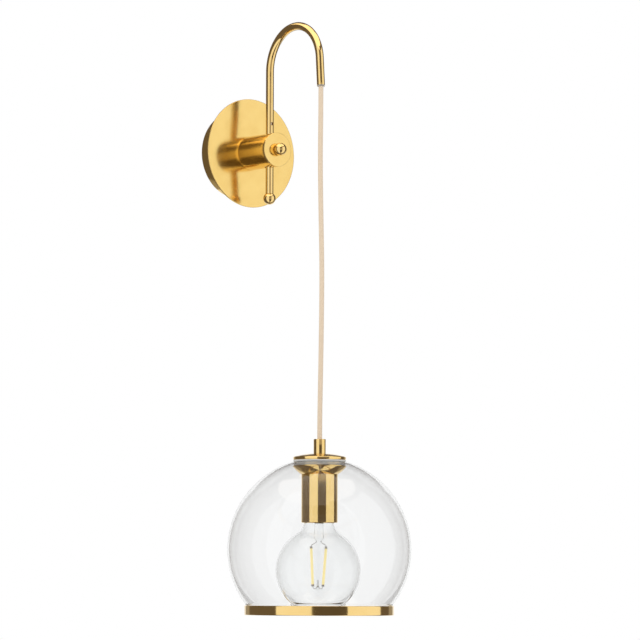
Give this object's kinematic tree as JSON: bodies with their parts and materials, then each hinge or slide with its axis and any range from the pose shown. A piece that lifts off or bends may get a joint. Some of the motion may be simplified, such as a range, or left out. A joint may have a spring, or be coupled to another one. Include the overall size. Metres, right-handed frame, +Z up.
{
  "type": "globe wall sconce",
  "caption": "Wall light with a round backplate, a height-adjustable swan-neck arm in a clamped stem and a clear globe shade hanging on a cord.",
  "frame": {"origin": "on the wall plane at the stem's axis, midway between the two wall-screw holes", "axes": "+Z up, +Y into the wall, -Y out into the room, +X to the right as seen from the room"},
  "size_m": [0.2052, 0.259, 0.6711],
  "materials": {
    "satin_brass": "brushed satin, lacquered",
    "polished_brass": "polished, lacquered",
    "galvanised_steel": "folded sheet, zinc plated",
    "plated_screw": "zinc plated",
    "terminal_plastic": "moulded",
    "live_insulation": "brown core insulation",
    "neutral_insulation": "blue core insulation",
    "earth_insulation": "green and yellow core insulation",
    "core_bundle": "brown, blue and green-yellow insulation",
    "nylon": "moulded nylon",
    "clear_plastic": "translucent moulded plastic",
    "cord_cover": "beige covered cord",
    "gasket_rubber": "pale silicone",
    "clear_glass": "clear blown glass",
    "bulb_glass": "clear thin glass",
    "glazed_ceramic": "white, glazed",
    "contact_brass": "plain",
    "bulb_nickel": "nickel plated",
    "black_glass": "black glass",
    "phosphor": "yellow phosphor",
    "lead_wire": "bare wire"
  },
  "bodies": {
    "wall_fitting": {"wall_bracket": "galvanised_steel", "canopy_drum": "satin_brass", "canopy_plate": "satin_brass", "canopy_screws": "plated_screw", "earth_screw": "plated_screw", "earth_tag": "plated_screw", "terminal_block": "terminal_plastic", "terminal_screws": "plated_screw", "live_core": "live_insulation", "neutral_core": "neutral_insulation", "earth_core": "earth_insulation", "stem_barrel": "satin_brass", "stem_base_plug": "contact_brass", "stem_nipple": "galvanised_steel", "nipple_washer": "plated_screw", "nipple_nut": "plated_screw"},
    "guide_bushes": {"upper_bush": "nylon", "lower_bush": "nylon"},
    "clamp_pad": {"clamp_pad": "nylon"},
    "thumb_screw": {"thumb_screw": "polished_brass"},
    "arm": {"arm_tube": "polished_brass", "ball_finial": "polished_brass", "mouth_bush": "clear_plastic", "arm_cord": "cord_cover", "arm_cores": "core_bundle"},
    "cord_neck": {"cord_neck": "cord_cover"},
    "cord": {"cord_drop": "cord_cover"},
    "pendant": {"cord_grip": "polished_brass", "grip_screw": "plated_screw", "cord_end": "cord_cover", "holder_cores": "core_bundle", "top_cap": "polished_brass", "upper_gasket": "gasket_rubber", "glass_shade": "clear_glass", "lower_gasket": "gasket_rubber", "gallery_collar": "polished_brass", "pendant_nipple": "galvanised_steel", "collar_nut": "plated_screw", "lampholder_cup": "polished_brass", "lampholder_insulator": "glazed_ceramic", "screw_shell": "contact_brass", "centre_contact": "contact_brass", "side_contact": "contact_brass", "rim_ring": "polished_brass"},
    "bulb": {"bulb_glass": "bulb_glass", "bulb_cap": "bulb_nickel", "bulb_insulator": "black_glass", "bulb_contact": "lead_wire", "bulb_stem": "bulb_glass", "filaments": "phosphor", "filament_leads": "lead_wire"}
  },
  "joints": [
    {"name": "arm_swivel", "type": "hinge", "parent": "wall_fitting", "child": "guide_bushes", "pos_m": [0, -0.063, 0], "axis": [0, 0, 1], "range_deg": [-60, 60]},
    {"name": "arm_height", "type": "slide", "parent": "guide_bushes", "child": "arm", "axis": [0, 0, 1], "range_m": [-0.0306, 0.025]},
    {"name": "pad_travel", "type": "slide", "parent": "wall_fitting", "child": "clamp_pad", "axis": [0, -1, 0], "range_m": [0, 0.0014]},
    {"name": "thumb_turn", "type": "hinge", "parent": "clamp_pad", "child": "thumb_screw", "pos_m": [0, -0.078, 0], "axis": [0, -1, 0], "range_deg": [0, 720]},
    {"name": "cord_side_swing", "type": "hinge", "parent": "arm", "child": "cord_neck", "pos_m": [0, -0.15639, 0.0652], "axis": [0, 1, 0], "range_deg": [-15, 15]},
    {"name": "cord_fore_swing", "type": "hinge", "parent": "cord_neck", "child": "cord", "pos_m": [0, -0.15639, 0.0652], "axis": [1, 0, 0], "range_deg": [-15, 4]},
    {"name": "shade_twist", "type": "hinge", "parent": "cord", "child": "pendant", "pos_m": [0, -0.15639, -0.3325], "axis": [0, 0, 1], "range_deg": [-90, 90]},
    {"name": "bulb_removal", "type": "slide", "parent": "pendant", "child": "bulb", "axis": [-0.0123, 0.0098, -0.9999], "range_m": [0, 0.03]}
  ],
  "couplings": [
    {"joint": "thumb_turn", "follows": "pad_travel", "rad_per_m": 8976}
  ]
}
